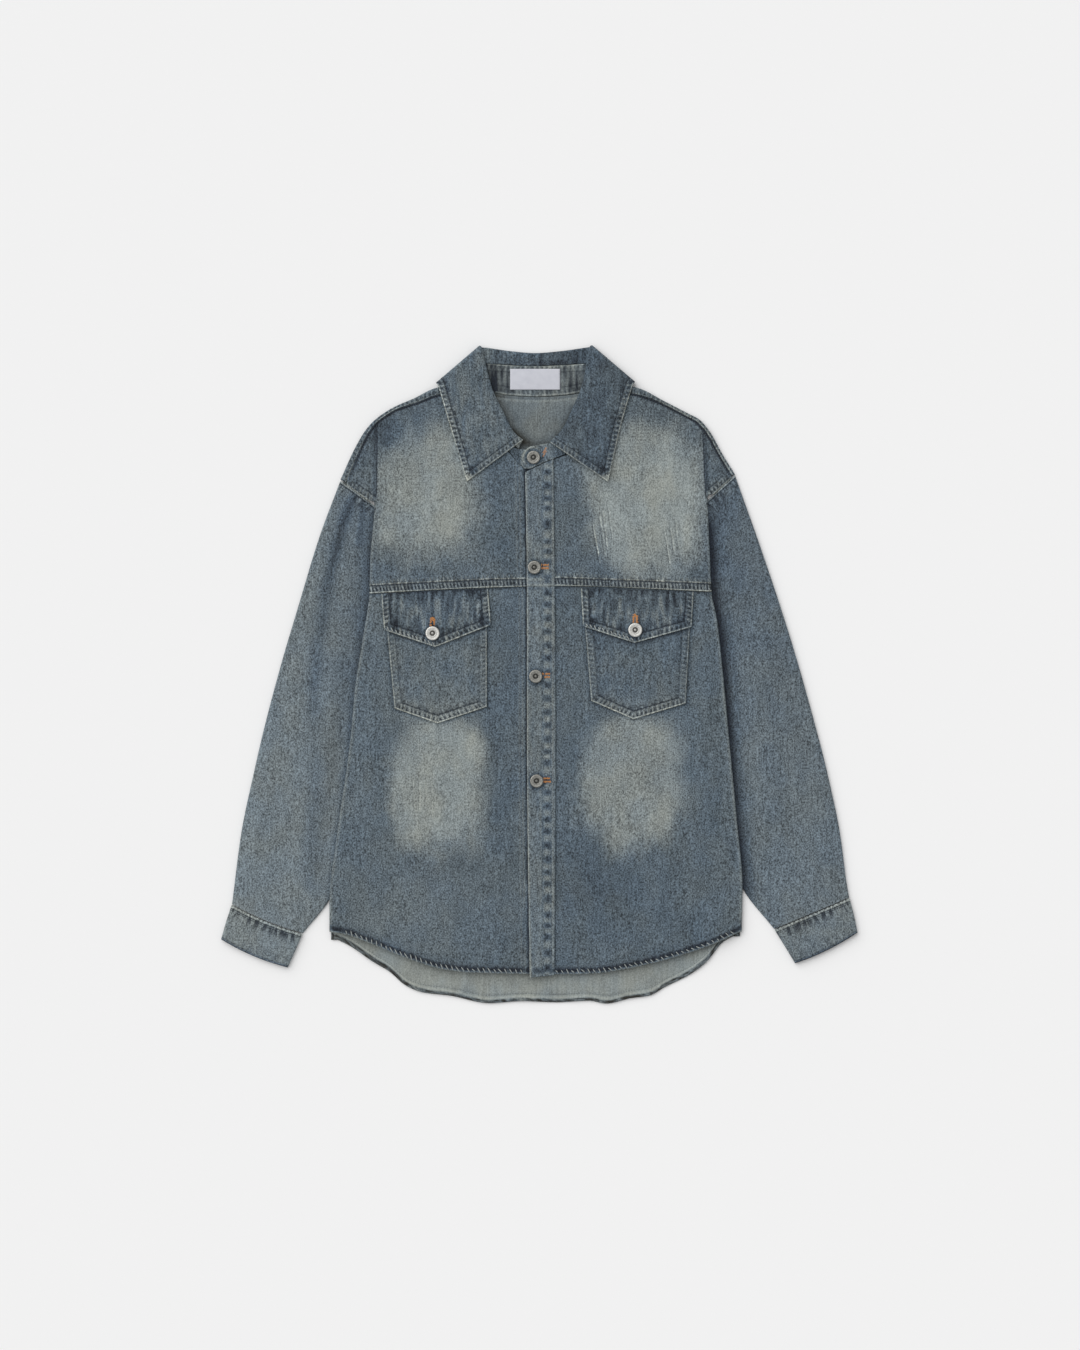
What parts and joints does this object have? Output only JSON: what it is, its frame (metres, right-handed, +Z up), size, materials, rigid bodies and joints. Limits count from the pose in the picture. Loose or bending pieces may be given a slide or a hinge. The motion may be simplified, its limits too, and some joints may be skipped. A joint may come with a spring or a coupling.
{
  "type": "denim shirt jacket",
  "caption": "Washed denim shirt jacket laid flat and buttoned, with a pointed collar, front yoke, pointed flap pockets, long cuffed sleeves and a curved shirt-tail hem.",
  "frame": {"origin": "under the middle of the jacket's bounding box, on the surface that it lies on", "axes": "+X towards the sleeve on the right as seen from above, +Y towards the collar, +Z up out of the surface, on the side of the buttoned front"},
  "size_m": [0.7642, 0.7896, 0.0124],
  "materials": {
    "denim_body": "stone-washed blue-grey twill with four soft faded patches and light abrasion",
    "denim_sleeve": "washed blue-grey twill, a little greyer than the body",
    "denim_trim": "washed blue-grey twill with light worn edges and dark seam puckers",
    "label_cloth": "plain pale lilac-grey woven label, blank",
    "button_metal": "matte silver shank button with a darker recessed middle"
  },
  "bodies": {
    "root": {"back_panel": "denim_body", "placket_upper": "denim_trim", "placket_lower": "denim_trim", "collar_leaf": "denim_trim", "collar_stand": "denim_trim", "neck_label": "label_cloth", "front_yoke_left": "denim_body", "front_lower_left": "denim_body", "sleeve_left": "denim_sleeve", "cuff_left": "denim_sleeve", "pocket_left": "denim_trim", "flap_left": "denim_trim", "flap_button_left": "button_metal", "front_yoke_right": "denim_body", "front_lower_right": "denim_body", "sleeve_right": "denim_sleeve", "cuff_right": "denim_sleeve", "pocket_right": "denim_trim", "flap_right": "denim_trim", "flap_button_right": "button_metal", "button_1": "button_metal", "button_2": "button_metal", "button_3": "button_metal", "button_4": "button_metal"}
  },
  "joints": []
}
